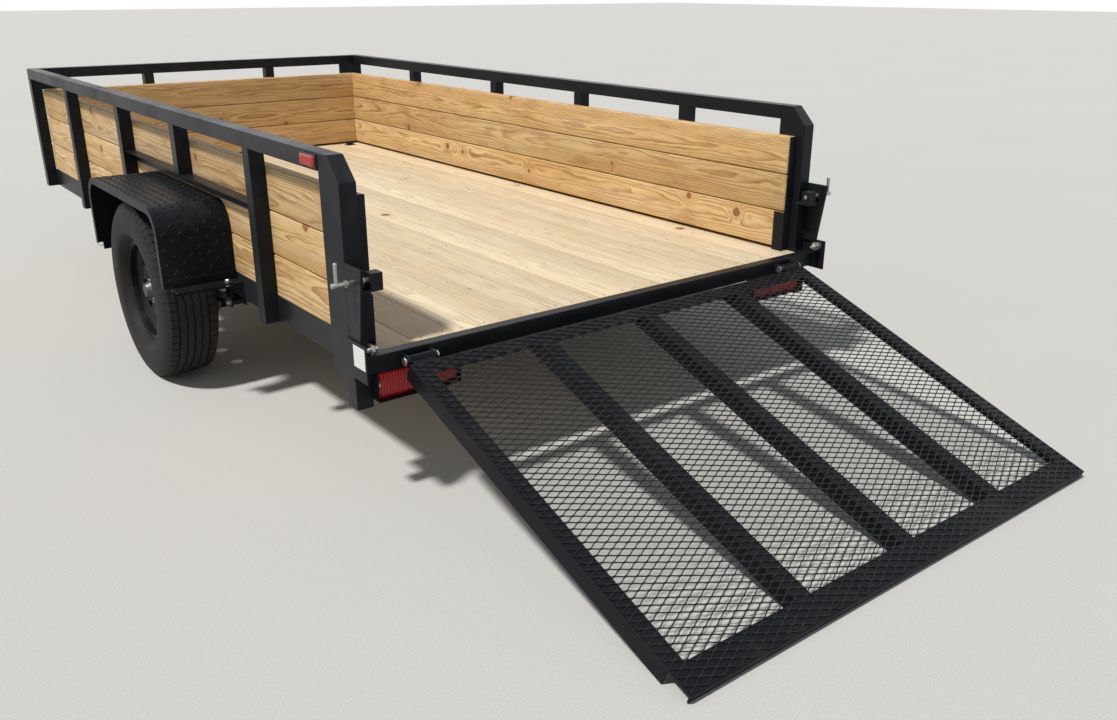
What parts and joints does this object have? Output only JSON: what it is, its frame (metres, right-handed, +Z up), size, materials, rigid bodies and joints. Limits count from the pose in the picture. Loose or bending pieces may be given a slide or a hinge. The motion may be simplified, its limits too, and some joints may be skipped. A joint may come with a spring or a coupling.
{
  "type": "single-axle utility trailer",
  "caption": "Low flat-bed trailer with board sides, tube rails, tread plate fenders, an A-frame tongue on a jack and a hinged mesh ramp lowered to the ground.",
  "frame": {"origin": "on the ground at the middle of the whole trailer's length and width, ramp lowered", "axes": "+Y towards the coupler, +X to the trailer's right side, +Z up"},
  "size_m": [2.336, 6.1484, 0.99],
  "materials": {
    "black_paint": "satin black powder coat",
    "tread_plate": "satin black powder coat on tread plate",
    "mesh_paint": "satin black paint on expanded mesh",
    "wheel_paint": "gloss black wheel paint",
    "deck_pine": "sawn treated pine, pale",
    "wall_pine": "planed yellow pine",
    "tyre_rubber": "matt black rubber",
    "hub_steel": "plated steel",
    "zinc_plate": "zinc plated steel",
    "red_lens": "red lens"
  },
  "bodies": {
    "chassis": {"axle_beam": "black_paint", "coupler": "black_paint", "crossmembers": "black_paint", "deck_boards": "deck_pine", "fender_left": "tread_plate", "fender_right": "tread_plate", "front_frame": "black_paint", "gate_latch_left": "black_paint", "gate_latch_right": "black_paint", "jack_crank": "zinc_plate", "jack_tube": "zinc_plate", "lamp_guard_left": "black_paint", "lamp_guard_right": "black_paint", "mid_rail_left": "black_paint", "mid_rail_right": "black_paint", "ramp_hinge_left": "black_paint", "ramp_hinge_right": "black_paint", "rear_post_left": "black_paint", "rear_post_right": "black_paint", "rear_sill": "black_paint", "side_frame_left": "black_paint", "side_frame_right": "black_paint", "side_marker_left": "red_lens", "side_marker_right": "red_lens", "spring_left": "black_paint", "spring_right": "black_paint", "tail_lamp_left": "red_lens", "tail_lamp_right": "red_lens", "tongue_left": "black_paint", "tongue_right": "black_paint", "top_rail_front": "black_paint", "top_rail_left": "black_paint", "top_rail_right": "black_paint", "uprights_front": "black_paint", "uprights_left": "black_paint", "uprights_right": "black_paint", "wall_boards_front": "wall_pine", "wall_boards_left": "wall_pine", "wall_boards_right": "wall_pine"},
    "right_wheel": {"tyre_right": "tyre_rubber", "wheel_right": "wheel_paint", "hub_right": "hub_steel"},
    "left_wheel": {"tyre_left": "tyre_rubber", "wheel_left": "wheel_paint", "hub_left": "hub_steel"},
    "ramp_gate": {"ramp_frame": "black_paint", "ramp_mesh": "mesh_paint"},
    "jack_foot": {"jack_leg": "zinc_plate"}
  },
  "joints": [
    {"name": "right_wheel_spin", "type": "hinge", "parent": "chassis", "child": "right_wheel", "pos_m": [1.0515, -0.44417, 0.332], "axis": [1, 0, 0], "continuous": true},
    {"name": "left_wheel_spin", "type": "hinge", "parent": "chassis", "child": "left_wheel", "pos_m": [-1.0515, -0.44417, 0.332], "axis": [1, 0, 0], "continuous": true},
    {"name": "ramp_hinge", "type": "hinge", "parent": "chassis", "child": "ramp_gate", "pos_m": [0, -1.92217, 0.424], "axis": [-1, 0, 0], "range_deg": [-10, 109.55]},
    {"name": "jack_slide", "type": "slide", "parent": "chassis", "child": "jack_foot", "axis": [0, 0, 1], "range_m": [-0.08, 0.27]}
  ]
}
